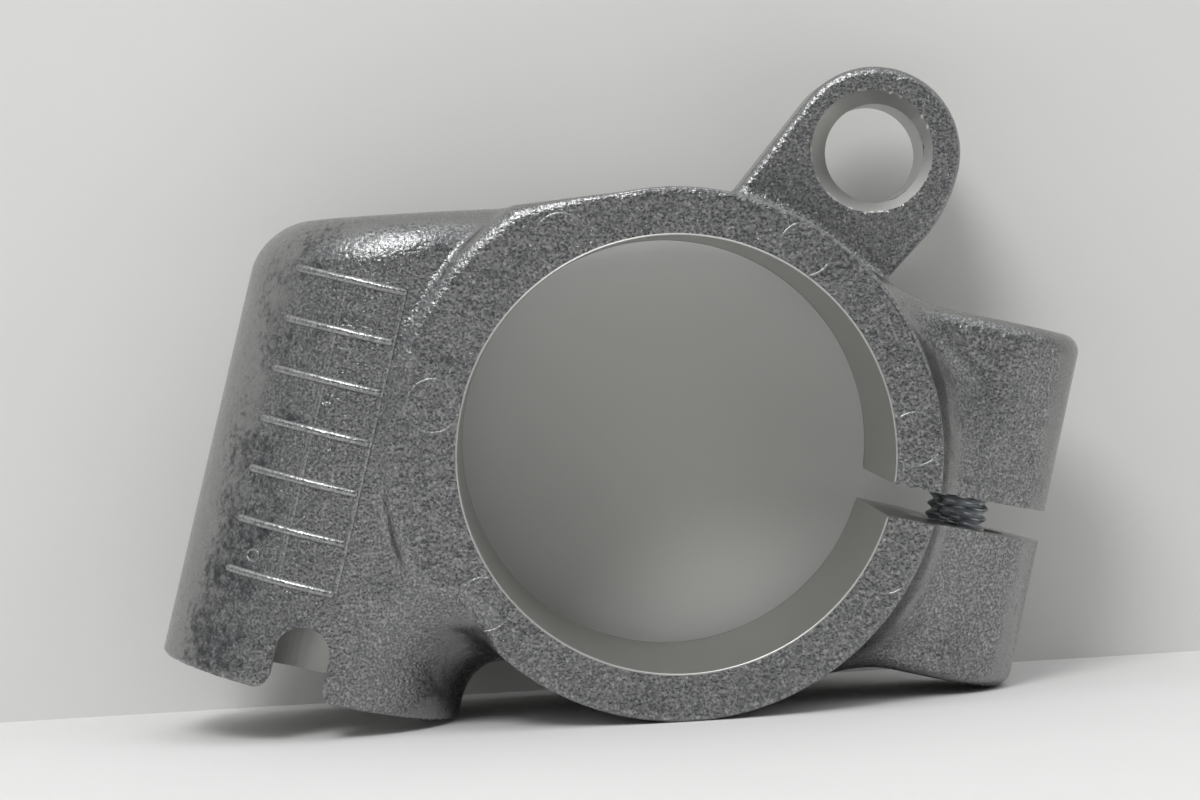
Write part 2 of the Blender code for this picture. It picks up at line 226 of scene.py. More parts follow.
def boss_body(x, y, z):
    """Both bosses with their ears: a stadium round the screw's axis, given its length along that axis."""
    out, up = slit_places(x, z)
    stadium = np.hypot(np.maximum(out - BOSS_OFFSET, 0), y) - BOSS_R
    length = np.maximum(up - BOSS_TOP, -up - BOSS_FOOT)
    return np.maximum(meet_round(stadium, length, BOSS_ROUND), -out)


def lug_places(x, z):
    """Right of the middle of the lug's hole, and up from it."""
    return x - LUG_DISTANCE * math.cos(LUG_ANGLE), z - LUG_DISTANCE * math.sin(LUG_ANGLE)


def lug_body(x, y, z):
    """A disc round the hole, on a stem with a straight left edge and a shouldered right one. The hip
    carries the right edge a little further up than the stem. The root keeps the lug on its own side
    of the bore's axis, and from running far into the ring."""
    qx, qz = lug_places(x, z)

    def beyond(angle, distance):
        """How far a place lies past a line at this distance from the hole's middle."""
        return qx * math.cos(angle) + qz * math.sin(angle) - distance

    left = beyond(LUG_LEFT_ANGLE, LUG_R)
    shoulder = beyond(LUG_SHOULDER_ANGLE, LUG_R)
    right = meet_round(beyond(LUG_RIGHT_ANGLE, LUG_RIGHT_REACH), shoulder, LUG_SHOULDER_ROUND)
    stem = np.maximum(np.maximum(left, right), beyond(LUG_ANGLE, LUG_STEM_REACH))
    right_half = -beyond(LUG_ANGLE - math.pi / 2, 0.0)
    hip = np.maximum(np.maximum(right, beyond(LUG_ANGLE, LUG_HIP_REACH)), right_half)
    outline = np.minimum(np.hypot(qx, qz) - LUG_R, np.minimum(stem, hip))
    thickness = np.abs(y - (LUG_FRONT + LUG_BACK) / 2) - (LUG_BACK - LUG_FRONT) / 2
    towards_lug = x * math.cos(LUG_ANGLE) + z * math.sin(LUG_ANGLE)
    root = np.maximum(RING_R - LUG_ROOT_DEPTH - np.hypot(x, z), -towards_lug)
    return np.maximum(meet_round(outline, thickness, LUG_EDGE), root)


def cast_body(x, y, z):
    """The casting before machining: every body joined to the ring with its own fillet radius. The
    socket's fillet widens towards its rim, and the bosses' narrows towards their ends."""
    neck = NECK_FILLET + NECK_FILLET_GAIN * ease(-z, 6, 17)
    body = join_round(ring_body(x, y, z), socket_body(x, y, z), neck)
    _, up = slit_places(x, z)
    flank = BOSS_FILLET - BOSS_FILLET_LOSS * ease(np.abs(up), 11, 16)
    body = join_round(body, boss_body(x, y, z), flank)
    return join_round(body, lug_body(x, y, z), LUG_ROOT_FILLET)


def bore_cut(x, y, z):
    """The fork bore."""
    return np.hypot(x, z) - BORE_R


def slit_cut(x, y, z):
    """The saw cut: a slab on the slit's side of the bore's axis."""
    out, up = slit_places(x, z)
    return np.maximum(np.abs(up) - SLIT_HALF, BORE_R / 2 - out)


def bar_cut(x, y, z):
    """The handlebar tube's blind bore and the arched notch, which has rounded lower corners."""
    across, along = socket_places(x, z)
    bore = np.maximum(np.hypot(across, y) - BAR_BORE_R, along - BAR_BORE_DEPTH)
    arch_height = NOTCH_HEIGHT - NOTCH_HALF
    arch = np.hypot(across - NOTCH_ACROSS, np.maximum(along - arch_height, 0)) - NOTCH_HALF
    arch = join_round(arch, along, NOTCH_CORNER)
    arch = np.maximum(arch, y + BAR_BORE_R / 2)
    return np.minimum(bore, arch)


def lug_cut(x, y, z):
    """The lug's hole and the cone that opens it at the front, set a little to the upper left of it."""
    qx, qz = lug_places(x, z)
    cone = np.hypot(qx - LUG_SINK_ACROSS, qz - LUG_SINK_UP) - LUG_HOLE_R - LUG_SINK + (y - LUG_FRONT)
    hole = np.hypot(qx, qz) - LUG_HOLE_R
    in_front = LUG_FRONT - 0.6 - y
    return np.minimum(np.maximum(hole, in_front), np.maximum(cone / math.sqrt(2), in_front))


def screw_cut(x, y, z):
    """Counterbore, clearance hole and the insert's pocket, stepped along the screw's axis."""
    out, up = slit_places(x, z)
    radius = np.hypot(out - BOSS_OFFSET, y)
    counterbore = np.maximum(radius - COUNTERBORE_R, BOSS_TOP - COUNTERBORE_DEPTH - up)
    hole = np.maximum(radius - SCREW_HOLE_R, -SCREW_HOLE_FOOT - up)
    pocket = np.maximum(np.maximum(radius - INSERT_R - POCKET_CLEARANCE, up), -POCKET_FOOT - up)
    return np.minimum(np.minimum(counterbore, hole), pocket)


def finished_body(x, y, z):
    """The casting with everything that is machined cut away from it."""
    body = cast_body(x, y, z)
    for cut in (bore_cut, slit_cut, bar_cut, lug_cut, screw_cut):
        body = np.maximum(body, -cut(x, y, z))
    return body


# ---------------------------------------------------------------------------
# From a distance function to a mesh.
# ---------------------------------------------------------------------------
def gradient(field, points, step=0.01):
    """Unit direction in which the field rises, by central differences."""
    slope = np.empty_like(points)
    for axis in range(3):
        ahead, behind = points.copy(), points.copy()
        ahead[:, axis] += step
        behind[:, axis] -= step
        slope[:, axis] = field(*ahead.T) - field(*behind.T)
    return slope / np.maximum(np.linalg.norm(slope, axis=1, keepdims=True), 1e-12)


def surface_of(field, low, high, step):
    """Dual contouring: one vertex in each grid cell that the surface crosses, one quad for each grid
    edge that it crosses.

    A cell's vertex is the point nearest to the tangent planes at its crossings (least squares, drawn
    weakly to their mean), so flat faces stay flat and edges stay sharp.
    """
    counts = np.ceil((high - low) / step).astype(int) + 1
    axes = [low[i] + step * np.arange(counts[i]) for i in range(3)]
    value = field(*np.meshgrid(*axes, indexing="ij"))
    inside = value < 0
    cells = counts - 1
    sums = np.zeros((int(np.prod(cells)), 13))
    quads = []
    for axis in range(3):
        ahead = [slice(None)] * 3
        behind = [slice(None)] * 3
        ahead[axis] = slice(1, None)
        behind[axis] = slice(0, -1)
        crossed = np.argwhere(inside[tuple(ahead)] != inside[tuple(behind)])
        others = [i for i in range(3) if i != axis]
        keep = np.all((crossed[:, others] > 0) & (crossed[:, others] < cells[others]), axis=1)
        crossed = crossed[keep]
        point, starts_inside = crossing_points(field, axes, crossed, axis, step, inside)
        normal = gradient(field, point)
        offset = np.einsum("ij,ij->i", normal, point)
        weights = np.column_stack([
            normal[:, 0] ** 2, normal[:, 1] ** 2, normal[:, 2] ** 2,
            normal[:, 0] * normal[:, 1], normal[:, 0] * normal[:, 2], normal[:, 1] * normal[:, 2],
            normal * offset[:, None], point, np.ones(len(point)),
        ])
        around = []
        for first, second in ((-1, -1), (0, -1), (0, 0), (-1, 0)):
            cell = crossed.copy()
            cell[:, others[0]] += first
            cell[:, others[1]] += second
            index = np.ravel_multi_index(cell.T, cells)
            around.append(index)
            for column in range(13):
                sums[:, column] += np.bincount(index, weights[:, column], minlength=len(sums))
        quad = np.column_stack(around)
        flip = starts_inside == (axis == 1)
        quad[flip] = quad[flip][:, ::-1]
        quads.append(quad)
    active = np.flatnonzero(sums[:, 12])
    vertices = cell_vertices(sums[active], active, cells, low, step)
    renumber = np.full(len(sums), -1)
    renumber[active] = np.arange(len(active))
    return vertices, renumber[np.vstack(quads)]


def crossing_points(field, axes, crossed, axis, step, inside):
    """Where each crossed grid edge meets the surface, by halving the interval twelve times."""
    start = np.column_stack([axes[i][crossed[:, i]] for i in range(3)])
    starts_inside = inside[tuple(crossed.T)]
    low, high = np.zeros(len(start)), np.ones(len(start))
    for _ in range(12):
        middle = (low + high) / 2
        point = start.copy()
        point[:, axis] += middle * step
        same = (field(*point.T) < 0) == starts_inside
        low = np.where(same, middle, low)
        high = np.where(same, high, middle)
    point = start.copy()
    point[:, axis] += (low + high) / 2 * step
    return point, starts_inside


def cell_vertices(sums, active, cells, low, step):
    """Each cell's least-squares vertex, kept within a fifth of a step of its cell."""
    count = sums[:, 12]
    mean = sums[:, 9:12] / count[:, None]
    matrix = np.empty((len(sums), 3, 3))
    for source, (row, column) in enumerate(((0, 0), (1, 1), (2, 2), (0, 1), (0, 2), (1, 2))):
        matrix[:, row, column] = sums[:, source]
        matrix[:, column, row] = sums[:, source]
    right = sums[:, 6:9] - np.einsum("nij,nj->ni", matrix, mean)
    matrix += 0.03 * count[:, None, None] * np.eye(3)
    vertex = mean + np.linalg.solve(matrix, right[:, :, None])[:, :, 0]
    corner = low + np.column_stack(np.unravel_index(active, cells)) * step
    return np.clip(vertex, corner - 0.2 * step, corner + 1.2 * step)


def linked(name, data):
    """A new object with this data, put into the scene."""
    obj = bpy.data.objects.new(name, data)
    bpy.context.scene.collection.objects.link(obj)
    return obj


def mesh_object(name, vertices, faces, material, normals=None, sharp_angle=None):
    """An object at the origin from points in millimetres in the casting's layout."""
    mesh = bpy.data.meshes.new(name)
    placed = (np.asarray(vertices) + bore_center) * MM
    mesh.from_pydata(placed.tolist(), [], [list(face) for face in faces])
    mesh.update()
    obj = linked(name, mesh)
    mesh.shade_smooth()
    if sharp_angle is not None:
        mesh.set_sharp_from_angle(angle=math.radians(sharp_angle))
    if normals is not None:
        mesh.normals_split_custom_set(normals.tolist())
    mesh.materials.append(material)
    return obj


def corner_normals(field, vertices, faces):
    """The field's direction at each face corner, read a little way in from it towards the middle."""
    corners = vertices[faces]
    middle = corners.mean(axis=1, keepdims=True)
    return gradient(field, (corners * 0.7 + middle * 0.3).reshape(-1, 3))


def grid_faces(rows, columns, around_columns=False, around_rows=False):
    """Quads between neighbouring points of a grid, which may close on itself either way."""
    row = np.arange(rows if around_rows else rows - 1)[:, None]
    column = np.arange(columns if around_columns else columns - 1)[None, :]
    next_row, next_column = (row + 1) % rows, (column + 1) % columns
    corners = [row * columns + column, row * columns + next_column,
               next_row * columns + next_column, next_row * columns + column]
    return np.stack([corner.ravel() for corner in corners], axis=1)


def joined(parts):
    """Several (vertices, faces) pairs as one, with the faces renumbered."""
    starts = np.cumsum([0] + [len(points) for points, _ in parts[:-1]])
    faces = [[index + start for index in face] for (_, part), start in zip(parts, starts) for face in part]
    return np.vstack([points for points, _ in parts]), faces


def with_ends(points, faces, columns):
    """Closes a grid's first and last rows, each with a fan of triangles to the row's middle."""
    count = len(points)
    column = np.arange(columns)
    after = (column + 1) % columns
    last = count - columns
    ends = np.vstack([points[:columns].mean(axis=0), points[last:].mean(axis=0)])
    near = np.column_stack([after, column, np.full(columns, count)])
    far = np.column_stack([last + column, last + after, np.full(columns, count + 1)])
    return np.vstack([points, ends]), faces.tolist() + near.tolist() + far.tolist()


def ridge(path, outward, width, height, closed=False):
    """A raised bead along a path: half an ellipse above the surface and a flat foot just below it.

    A point is path + side * (width / 2) * cos(a) + outward * height * sin(a), where side is square to
    the path, and an open bead's section shrinks almost to nothing over half a width at each end.
    """
    ahead, behind = np.roll(path, -1, axis=0), np.roll(path, 1, axis=0)
    if not closed:
        ahead[-1], behind[0] = path[-1], path[0]
    along = ahead - behind
    along = along / np.linalg.norm(along, axis=1, keepdims=True)
    side = np.cross(along, outward)
    length = np.concatenate([[0.0], np.cumsum(np.linalg.norm(np.diff(path, axis=0), axis=1))])
    to_end = np.minimum(length, length[-1] - length) / (width / 2)
    taper = np.sqrt(1 - np.clip(1 - to_end, 0, 0.99) ** 2)
    taper = np.ones(len(path)) if closed else taper
    angle = np.concatenate([np.linspace(0, math.pi, 7), [math.pi, 0.0]])
    lift = np.where(np.arange(9) < 7, np.sin(angle) * height, -BEAD_FOOT)
    points = (
        path[:, None, :]
        + side[:, None, :] * (np.cos(angle) * width / 2)[None, :, None] * taper[:, None, None]
        + outward[:, None, :] * lift[None, :, None] * taper[:, None, None]
    ).reshape(-1, 3)
    faces = grid_faces(len(path), 9, around_columns=True, around_rows=closed)
    return (points, faces.tolist()) if closed else with_ends(points, faces, 9)


def turned(profile, turns, ring=False, radius_at=None):
    """A profile of (radius, height) rows turned round the screw's axis, in millimetres from the slit.

    Its ends are closed with fans, or joined to each other for a ring. radius_at(radius, height, angle)
    may change the radius at each point, as for a thread, a knurl or a hexagon.
    """
    radius, height = np.array(profile, dtype=float).T[:, :, None]
    angle = np.linspace(0, 2 * math.pi, turns, endpoint=False)[None, :]
    radius, height, angle = np.broadcast_arrays(radius, height, angle)
    if radius_at is not None:
        radius = radius_at(radius, height, angle)
    around = np.cos(angle)[..., None] * slit_axis + np.sin(angle)[..., None] * BACK
    points = slit_axis * BOSS_OFFSET + radius[..., None] * around + height[..., None] * pinch_axis
    faces = grid_faces(len(profile), turns, around_columns=True, around_rows=ring)
    points = points.reshape(-1, 3)
    return (points, faces.tolist()) if ring else with_ends(points, faces, turns)


# ---------------------------------------------------------------------------
# Materials.
# ---------------------------------------------------------------------------
def linear(hex_color):
    """A six-digit sRGB hex colour as a linear RGBA tuple."""
    parts = [int(hex_color[i:i + 2], 16) / 255 for i in (1, 3, 5)]
    return (*[c / 12.92 if c <= 0.04045 else ((c + 0.055) / 1.055) ** 2.4 for c in parts], 1.0)


def add_node(tree, kind, settings=None, **links):
    """Adds a node. settings holds its properties and sockets' values, links what feeds its sockets."""
    node = tree.nodes.new(kind)
    for key, value in (settings or {}).items():
        if hasattr(node, key):
            setattr(node, key, value)
        else:
            node.inputs[key].default_value = value
    for key, source in links.items():
        tree.links.new(source, node.inputs[key.replace("_", " ")])
    return node


def new_material(name, color, metallic, roughness):
    """A plain material, with its node tree and its shader to add to."""
    material = bpy.data.materials.new(name)
    material.use_nodes = True
    shader = material.node_tree.nodes["Principled BSDF"]
    shader.inputs["Base Color"].default_value = linear(color)
    shader.inputs["Metallic"].default_value = metallic
    shader.inputs["Roughness"].default_value = roughness
    return material, material.node_tree, shader


def noise(tree, place, size_mm, detail=2.0, roughness=0.55):
    """Noise whose lumps are about this many millimetres across."""
    settings = {"Scale": 1000.0 / size_mm, "Detail": detail, "Roughness": roughness}
    return add_node(tree, "ShaderNodeTexNoise", settings, Vector=place).outputs["Fac"]


def step_between(tree, value, low, high, to_low=0.0, to_high=1.0):
    """Maps low..high of a value smoothly to to_low..to_high."""
    settings = {"interpolation_type": "SMOOTHSTEP", "From Min": low, "From Max": high,
                "To Min": to_low, "To Max": to_high}
    return add_node(tree, "ShaderNodeMapRange", settings, Value=value).outputs["Result"]


def combine(tree, operation, first, second):
    """A Math node on two values, each a socket or a number."""
    node = add_node(tree, "ShaderNodeMath", {"operation": operation})
    for slot, value in enumerate((first, second)):
        if isinstance(value, (int, float)):
            node.inputs[slot].default_value = value
        else:
            tree.links.new(value, node.inputs[slot])
    return node.outputs["Value"]


def scaled(tree, value, factor, added):
    """value * factor + added, where added is a socket or a number."""
    return combine(tree, "ADD", combine(tree, "MULTIPLY", value, factor), added)


def mix_colors(tree, factor, first, second):
    """A mix of two colours, each a hex colour or a socket."""
    node = add_node(tree, "ShaderNodeMixRGB", {}, Fac=factor)
    for key, value in (("Color1", first), ("Color2", second)):
        if isinstance(value, str):
            node.inputs[key].default_value = linear(value)
        else:
            tree.links.new(value, node.inputs[key])
    return node.outputs["Color"]


def die_cast_aluminium(name, grain_depth, dark, light):
    """Die-cast aluminium, shot-blasted. The shot leaves facets about 0.3 mm across that each catch the
    light on their own, so the skin looks grey and grainy with bright specks; the brightest specks are
    also lightened in the colour as painted glints. Faces that the die slid off are dragged smooth, and
    darker mottled patches lie about the skin, most of all where the mesh's weight for them is high.
    """
    material, tree, shader = new_material(name, light, 1.0, 0.42)
    place = add_node(tree, "ShaderNodeTexCoord").outputs["Object"]
    turned_to = add_node(tree, "ShaderNodeNewGeometry").outputs["Normal"]
    facing = add_node(tree, "ShaderNodeSeparateXYZ", {}, Vector=turned_to).outputs["Y"]
    facing = combine(tree, "ABSOLUTE", facing, 0.0)
    dark_patch_weight = add_node(tree, "ShaderNodeAttribute", {"attribute_name": "dark_patch"}).outputs["Fac"]

    dents = {"feature": "SMOOTH_F1", "Scale": 1000.0 / (GRAIN_MM * 1.5)}
    peened = add_node(tree, "ShaderNodeTexVoronoi", dents, Vector=place).outputs["Distance"]
    grain = scaled(tree, peened, 0.6, noise(tree, place, GRAIN_MM, 2.0, 0.6))
    specks = noise(tree, place, GRAIN_MM * 0.8, 1.0, 0.5)
    blotches = noise(tree, place, 4.5, 4.0, 0.65)
    mottle = noise(tree, place, 0.7, 3.0, 0.75)
    swells = noise(tree, place, 2.2, 1.0, 0.5)

    wander = combine(tree, "MULTIPLY", combine(tree, "SUBTRACT", blotches, 0.5), 0.35)
    grainy = step_between(tree, combine(tree, "ADD", facing, wander), 0.56, 0.80)
    # Darker mottled patches: random blotches, raised by the mesh's weight low on the socket's left.
    dark_patch = scaled(tree, blotches, 0.40, combine(tree, "MULTIPLY", mottle, 0.60))
    dark_patch = scaled(tree, dark_patch_weight, 0.13, dark_patch)
    dark_patch = step_between(tree, dark_patch, 0.53, 0.74)

    skin = mix_colors(tree, step_between(tree, specks, 0.35, 0.68), dark, light)
    # The brightest specks are lightened towards near white: painted glints.
    skin = mix_colors(tree, step_between(tree, specks, 0.64, 0.78), skin, "#bcbcba")
    skin = mix_colors(tree, step_between(tree, grainy, 0.0, 1.0, 1.0, 0.0), skin, "#949494")
    color = mix_colors(tree, dark_patch, skin, "#4e4f52")
    tree.links.new(color, shader.inputs["Base Color"])
    tree.links.new(scaled(tree, specks, 0.14, 0.21), shader.inputs["Roughness"])

    clean = combine(tree, "SUBTRACT", 1.0, combine(tree, "MULTIPLY", dark_patch, 0.6))
    strength = scaled(tree, combine(tree, "MULTIPLY", grainy, clean), 0.85, 0.15)
    swell = {"Strength": 0.8, "Distance": 0.00016}
    swollen = add_node(tree, "ShaderNodeBump", swell, Height=swells).outputs["Normal"]
    bump = add_node(tree, "ShaderNodeBump", {"Distance": grain_depth},
                    Height=grain, Strength=strength, Normal=swollen)
    tree.links.new(bump.outputs["Normal"], shader.inputs["Normal"])
    return material


def machined_aluminium():
    """Bored and sawn aluminium: satin, with tool marks that run round the bore."""
    material, tree, shader = new_material("machined_aluminium", "#b4b4b1", 1.0, 0.38)
    place = add_node(tree, "ShaderNodeTexCoord").outputs["Object"]
    bands = {"bands_direction": "Y", "Scale": 2 * math.pi / (20 * TOOL_MARK_M), "Distortion": 0.6}
    marks = add_node(tree, "ShaderNodeTexWave", bands, Vector=place).outputs["Fac"]
    cloud = noise(tree, place, 6.0, 3.0)
    color = mix_colors(tree, cloud, "#b9b9b7", "#cececa")
    tree.links.new(color, shader.inputs["Base Color"])
    tree.links.new(scaled(tree, cloud, 0.16, 0.26), shader.inputs["Roughness"])
    bump = add_node(tree, "ShaderNodeBump", {"Strength": 0.35, "Distance": 0.00001}, Height=marks)
    tree.links.new(bump.outputs["Normal"], shader.inputs["Normal"])
    return material


def plated_steel(name, dark, light, roughness, streak_mm):
    """Steel with a thin bright coat: it shines, a little duller in a fine cloud where handled."""
    material, tree, shader = new_material(name, light, 1.0, roughness)
    place = add_node(tree, "ShaderNodeTexCoord").outputs["Object"]
    cloud = noise(tree, place, streak_mm, 3.0)
    fine = noise(tree, place, 0.25, 2.0)
    tree.links.new(mix_colors(tree, cloud, dark, light), shader.inputs["Base Color"])
    tree.links.new(scaled(tree, cloud, 0.2, roughness - 0.1), shader.inputs["Roughness"])
    bump = add_node(tree, "ShaderNodeBump", {"Strength": 0.3, "Distance": 0.00001}, Height=fine)
    tree.links.new(bump.outputs["Normal"], shader.inputs["Normal"])
    return material


# ---------------------------------------------------------------------------
# The casting.
# ---------------------------------------------------------------------------
def make_casting(cast, machined):
    """The casting's mesh, its machined faces, and a weight for darker patches: strongest low on the socket's left.
    """
    vertices, faces = surface_of(finished_body, CASTING_LOW, CASTING_HIGH, GRID_STEP)
    normals = corner_normals(finished_body, vertices, faces)
    casting = mesh_object("casting", vertices, faces.tolist(), cast, normals)
    casting.data.materials.append(machined)
    middle = vertices[faces].mean(axis=1)
    cut_face = cast_body(*middle.T) < -0.05
    casting.data.polygons.foreach_set("material_index", cut_face.astype(np.int32))
    x, y, z = vertices.T
    across, along = socket_places(x, z)
    left = ease(-across, 4.5, 8.5) * (1 - ease(-across, 11.5, 13.5))
    # Weight for darker patches on the socket's left side, strongest near its rim at the bottom, only where x <
    # -20.
    dark_patch = left * (1 - 0.45 * ease(along, 8, 30)) * np.where(x < -20, 1.0, 0.0)
    marks = casting.data.attributes.new("dark_patch", "FLOAT", "POINT")
    marks.data.foreach_set("value", dark_patch.astype(np.float32))
    ride_on_clamp(casting)
    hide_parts("clamp_casting")


def ride_on_clamp(piece):
    """Puts a piece on the clamp's body."""
    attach(piece, "clamp")


def on_socket(across, along):
    """Points on the socket's round front and the directions square to it there."""
    across, along = np.broadcast_arrays(np.asarray(across, float), np.asarray(along, float))
    lean = across / SOCKET_R
    deep = np.sqrt(1 - lean ** 2)
    outward = lean[:, None] * socket_side - deep[:, None] * BACK
    return socket_rim + outward * SOCKET_R + along[:, None] * socket_axis, outward


def make_date_grid(cast):
    """Seven raised ribs across the socket, two thinner ones along it, and a small raised ring."""
    rows = GRID_FIRST + GRID_PITCH * np.arange(GRID_ROWS)
    parts = []
    for row in rows:
        across = np.linspace(GRID_LEFT, GRID_RIGHT + 0.25 * (row == rows[-1]), 60)
        parts.append(ridge(*on_socket(across, row), RIB_WIDTH, RIB_HEIGHT))
    along = np.linspace(rows[0], rows[-1], 200)
    parts.append(ridge(*on_socket(GRID_MIDDLE, along), GRID_LINE_WIDTH, 0.16))
    parts.append(ridge(*on_socket(GRID_RIGHT - 0.1, along), GRID_LINE_WIDTH, 0.2))
    angle = np.linspace(0, 2 * math.pi, 32, endpoint=False)
    ring = on_socket(-7.65 + 0.55 * np.cos(angle), 11.9 + 0.55 * np.sin(angle))
    parts.append(ridge(*ring, 0.28, 0.10, closed=True))
    vertices, faces = joined(parts)
    # The material passed in here is the lighter copy, whose colour paints the ribs' bright tops as a highlight.
    ride_on_clamp(mesh_object("date_grid_ribs", vertices, faces, cast, sharp_angle=50))


def ring_face_arcs(x, z, radius, inset):
    """A circle on the ring's front face, cut into the runs of points that lie on the flat face, each
    with whether it closes on itself."""
    angle = np.linspace(0, 2 * math.pi, PIN_MARK_POINTS + 1)[:-1]
    px, pz = x + radius * np.cos(angle), z + radius * np.sin(angle)
    on_face = (ring_outline(px, pz) < -inset) & (np.hypot(px, pz) > BORE_R + 0.2)
    circle = np.column_stack([px, np.full(PIN_MARK_POINTS, -RING_HALF), pz])
    if on_face.all():
        return [(circle, True)]
    first = int(np.argmax(on_face & ~np.roll(on_face, 1)))
    order = (np.arange(PIN_MARK_POINTS) + first) % PIN_MARK_POINTS
    runs = np.split(order, np.flatnonzero(np.diff(on_face[order].astype(int))) + 1)
    return [(circle[run], False) for run in runs if on_face[run[0]] and len(run) > 5]


def make_pin_marks(cast):
    """Fine raised rings, 5 mm across, that the die's ejector pins leave on the ring's front face."""
    parts = []
    for x, z in PIN_MARKS:
        for path, closed in ring_face_arcs(x, z, PIN_MARK_R, PIN_MARK_INSET):
            outward = np.tile([0.0, -1.0, 0.0], (len(path), 1))
            parts.append(ridge(path, outward, 0.24, 0.09, closed))
    vertices, faces = joined(parts)
    # The material passed in here is the lighter copy, whose colour is a painted highlight on the fine rings.
    ride_on_clamp(mesh_object("ejector_pin_marks", vertices, faces, cast, sharp_angle=50))


def rim_path(radius, y, start, stop):
    """Points round the bore's axis, from one angle to another in degrees."""
    angle = np.radians(np.linspace(start, stop, int(abs(stop - start)) + 1))
    return np.column_stack([radius * np.cos(angle), np.full(len(angle), y), radius * np.sin(angle)])


def square_out(path, radial, endways):
    """Directions that lean this much outwards from the bore's axis and this much along it."""
    outward = np.column_stack([path[:, 0], np.zeros(len(path)), path[:, 2]])
    outward = radial * outward / np.linalg.norm(outward, axis=1, keepdims=True)
    outward[:, 1] = endways
    return outward / np.linalg.norm(outward, axis=1, keepdims=True)


def make_bore_burrs(machined):
    """The bright burr that boring leaves on each end of the fork bore: a fine bead on each edge."""
    slit_angle = math.degrees(math.atan2(slit_axis[2], slit_axis[0]))
    half_gap = math.degrees(math.asin(SLIT_HALF / BORE_R)) + 0.4
    parts = []
    for end in (-1.0, 1.0):
        path = rim_path(BORE_R, end * RING_HALF, slit_angle + half_gap, slit_angle + 360 - half_gap)
        parts.append(ridge(path, square_out(path, -1.0, end), 0.2, 0.05))
    vertices, faces = joined(parts)
    ride_on_clamp(mesh_object("bore_edge_burrs", vertices, faces, machined, sharp_angle=50))


def make_parting_flash(smooth_painted_highlight):
    """The thin bead of flash that the die's parting line leaves along the ring's outer front edge."""
    path = rim_path(RING_R - 0.16, -RING_HALF + 0.12, 100.0, 14.0)
    vertices, faces = ridge(path, square_out(path, 1.0, -1.0), 0.34, 0.1)
    # Its lighter material paints the bright line along this edge as a highlight.
    ride_on_clamp(mesh_object("parting_flash", vertices, faces, smooth_painted_highlight, sharp_angle=50))


# ---------------------------------------------------------------------------
# The pinch screw, its washer and the thread insert, all about the screw's axis.
# ---------------------------------------------------------------------------
def extent_on_screw_axis(node):
    """A CAD node's lowest and highest millimetre along the screw's axis, from the slit's middle."""
    mesh = frame["nodes"][node].data
    points = np.empty(len(mesh.vertices) * 3)
    mesh.vertices.foreach_get("co", points)
    height = (points.reshape(-1, 3) / MM - bore_center) @ pinch_axis
    return height.min(), height.max()


def thread_wave(height, angle):
    """A rounded helix, 0 to 1: a cosine of the height less the turn's share of the pitch."""
    return 0.5 + 0.5 * np.cos(2 * math.pi * (height / SCREW_PITCH - angle / (2 * math.pi)))


def make_screw(zinc):
    """A socket-head cap screw: thread and head as two turned shells that meet under the head."""
    tip, top = extent_on_screw_axis("pinch_screw")
    seat = top - HEAD_HEIGHT

    def thread(radius, height, angle):
        """The outside thread, which fades out at the tip and under the head."""
        fade = ease(height, tip + 0.2, tip + 1.2) * (1 - ease(height, seat - 1.4, seat - 0.6))
        return radius - THREAD_DEPTH * thread_wave(height, angle) * fade * (radius > SCREW_R - 0.8)

    shank_rows = np.arange(tip + 0.75, seat + 0.6, SCREW_PITCH / 9)
    profile = [(SCREW_R - 1.6, tip), (SCREW_R - 0.75, tip + 0.02), (SCREW_R - 0.4, tip + 0.35)]
    profile += [(SCREW_R, height) for height in shank_rows]
    shank = turned(profile, 48, radius_at=thread)
    key = HEX_ACROSS / 2

    def knurl_and_hexagon(radius, height, angle):
        """Fine grooves round the head's side, and a hexagon where the radius is inside the key's."""
        side = (radius > HEAD_R - 0.02) & (height > seat + 0.7) & (height < top - 0.9)
        grooved = radius - KNURL_DEPTH * (0.5 + 0.5 * np.cos(angle * KNURLS)) * side
        turn = (angle + math.pi / 6) % (math.pi / 3) - math.pi / 6
        in_key = (radius < key + 0.01) & (radius > key - 0.4) & (height > top - HEX_DEPTH - 0.5)
        return np.where(in_key, radius / np.cos(turn), grooved)

    profile = [
        (SCREW_R - 0.3, seat), (HEAD_R - 0.35, seat), (HEAD_R - 0.12, seat + 0.08), (HEAD_R, seat + 0.3),
        (HEAD_R, seat + 0.65), (HEAD_R, seat + 0.75), (HEAD_R, top - 0.95), (HEAD_R, top - 0.85),
        (HEAD_R, top - 0.5), (HEAD_R - 0.15, top - 0.18), (HEAD_R - 0.5, top - 0.02), (HEAD_R - 0.7, top),
        (key + 0.75, top), (key, top - 0.02), (key - 0.05, top - 0.12), (key - 0.06, top - HEX_DEPTH + 0.1),
        (key - 0.1, top - HEX_DEPTH), (0.3, top - HEX_DEPTH - 0.35),
    ]
    head = turned(profile, KNURLS * 6, radius_at=knurl_and_hexagon)
    vertices, faces = joined([shank, head])
    screw = mesh_object("cap_screw", vertices, faces, zinc, sharp_angle=32)
    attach(screw, "screw")
    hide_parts("pinch_screw")


def make_washer(zinc):
    """A stamped washer: a ring whose upper edges the punch has rounded and whose lower ones are sharp."""
    low, high = extent_on_screw_axis("pinch_washer")
    hole = SCREW_R + 0.3
    profile = [
        (hole, low + 0.06), (hole + 0.06, low), (WASHER_R - 0.06, low), (WASHER_R, low + 0.06),
        (WASHER_R, high - 0.3), (WASHER_R - 0.1, high - 0.1), (WASHER_R - 0.32, high),
        (hole + 0.25, high), (hole + 0.08, high - 0.08), (hole, high - 0.25),
    ]
    vertices, faces = turned(profile, 96, ring=True)
    washer = mesh_object("flat_washer", vertices, faces, zinc, sharp_angle=40)
    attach(washer, "washer")
    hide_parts("pinch_washer")


